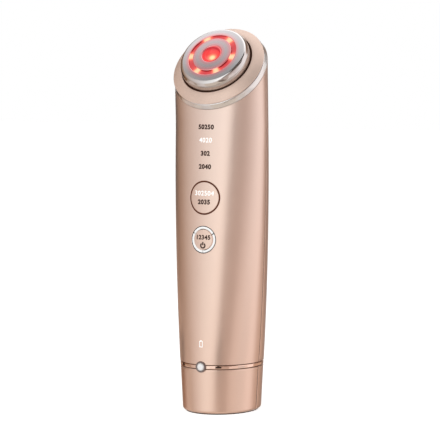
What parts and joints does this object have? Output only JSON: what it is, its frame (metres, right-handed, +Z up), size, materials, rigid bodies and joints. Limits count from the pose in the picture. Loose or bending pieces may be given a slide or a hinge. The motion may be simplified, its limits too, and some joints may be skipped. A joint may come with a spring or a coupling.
{
  "type": "handheld facial care device",
  "caption": "Tapered rose-gold handset that stands on its base, with a tilted round head of ring electrodes, red light ring and centre lamp, and two press buttons on its front.",
  "frame": {"origin": "centre of the standing face, on the parting plane of the casing", "axes": "+Z up the body, -Y out of the front that carries the buttons, +X to the right of someone who looks at the front"},
  "size_m": [0.0516, 0.0486, 0.1993],
  "materials": {
    "rose_paint": "satin metallic paint",
    "rose_polish": "polished rose plating",
    "champagne_matte": "matte champagne paint",
    "polished_silver": "polished",
    "satin_silver": "satin",
    "lamp_red": "clear red, lit",
    "dark_rubber": "matte",
    "crystal": "cut and polished",
    "ring_white": "milky, lit",
    "light_guide": "clear",
    "ivory_plastic": "moulded",
    "circuit_board": "solder mask",
    "black_plastic": "moulded",
    "white_plastic": "moulded",
    "lamp_chip": "clear, lit",
    "contact_gold": "gold plated",
    "ceramic": "unglazed ceramic",
    "sink_aluminium": "extruded",
    "steel": "plain",
    "weight_metal": "sintered",
    "battery_wrap": "shrink wrap"
  },
  "bodies": {
    "housing": {"front_shell": "rose_paint", "rear_shell": "rose_paint", "base_front_cover": "rose_paint", "base_rear_cover": "rose_paint", "trim_band": "rose_polish", "head_bezel": "champagne_matte", "head_rim": "polished_silver", "jewel_setting": "polished_silver", "outer_electrode": "polished_silver", "hand_electrode": "polished_silver", "inner_electrode": "satin_silver", "light_ring": "lamp_red", "centre_lens": "lamp_red", "head_seal": "dark_rubber", "foot_pad": "dark_rubber", "jewel": "crystal", "level_light_ring": "ring_white", "mode_light_guide": "light_guide", "charge_light_guide": "light_guide", "inner_frame": "ivory_plastic", "head_plate": "ivory_plastic", "electrode_carrier": "ivory_plastic", "base_plate": "ivory_plastic", "led_board": "circuit_board", "main_board": "circuit_board", "board_chips": "black_plastic", "mode_switch": "black_plastic", "level_switch": "black_plastic", "led_chips": "lamp_chip", "indicator_leds": "lamp_chip", "charge_contacts": "contact_gold", "electrode_contacts": "contact_gold", "cooling_module": "ceramic", "heat_sink": "sink_aluminium", "head_screws": "steel", "neck_screws": "steel", "board_screws": "steel", "case_screws": "steel", "base_screws": "steel", "battery_contacts": "steel", "vibration_motor": "steel", "battery_cell": "battery_wrap"},
    "mode_button": {"mode_button_cap": "rose_paint", "mode_switch_plunger": "white_plastic"},
    "level_button": {"level_button_cap": "rose_paint", "level_switch_plunger": "white_plastic"},
    "vibrator_rotor": {"motor_shaft": "steel", "eccentric_weight": "weight_metal"}
  },
  "joints": [
    {"name": "mode_button_press", "type": "slide", "parent": "housing", "child": "mode_button", "axis": [0, 1, 0], "range_m": [0, 0.0005], "stiffness_N_per_m": 1500},
    {"name": "level_button_press", "type": "slide", "parent": "housing", "child": "level_button", "axis": [0, 1, 0], "range_m": [0, 0.0005], "stiffness_N_per_m": 1500},
    {"name": "vibrator_spin", "type": "hinge", "parent": "housing", "child": "vibrator_rotor", "pos_m": [0.0079, 0.0067, 0.11965], "axis": [1, 0, 0], "continuous": true}
  ]
}
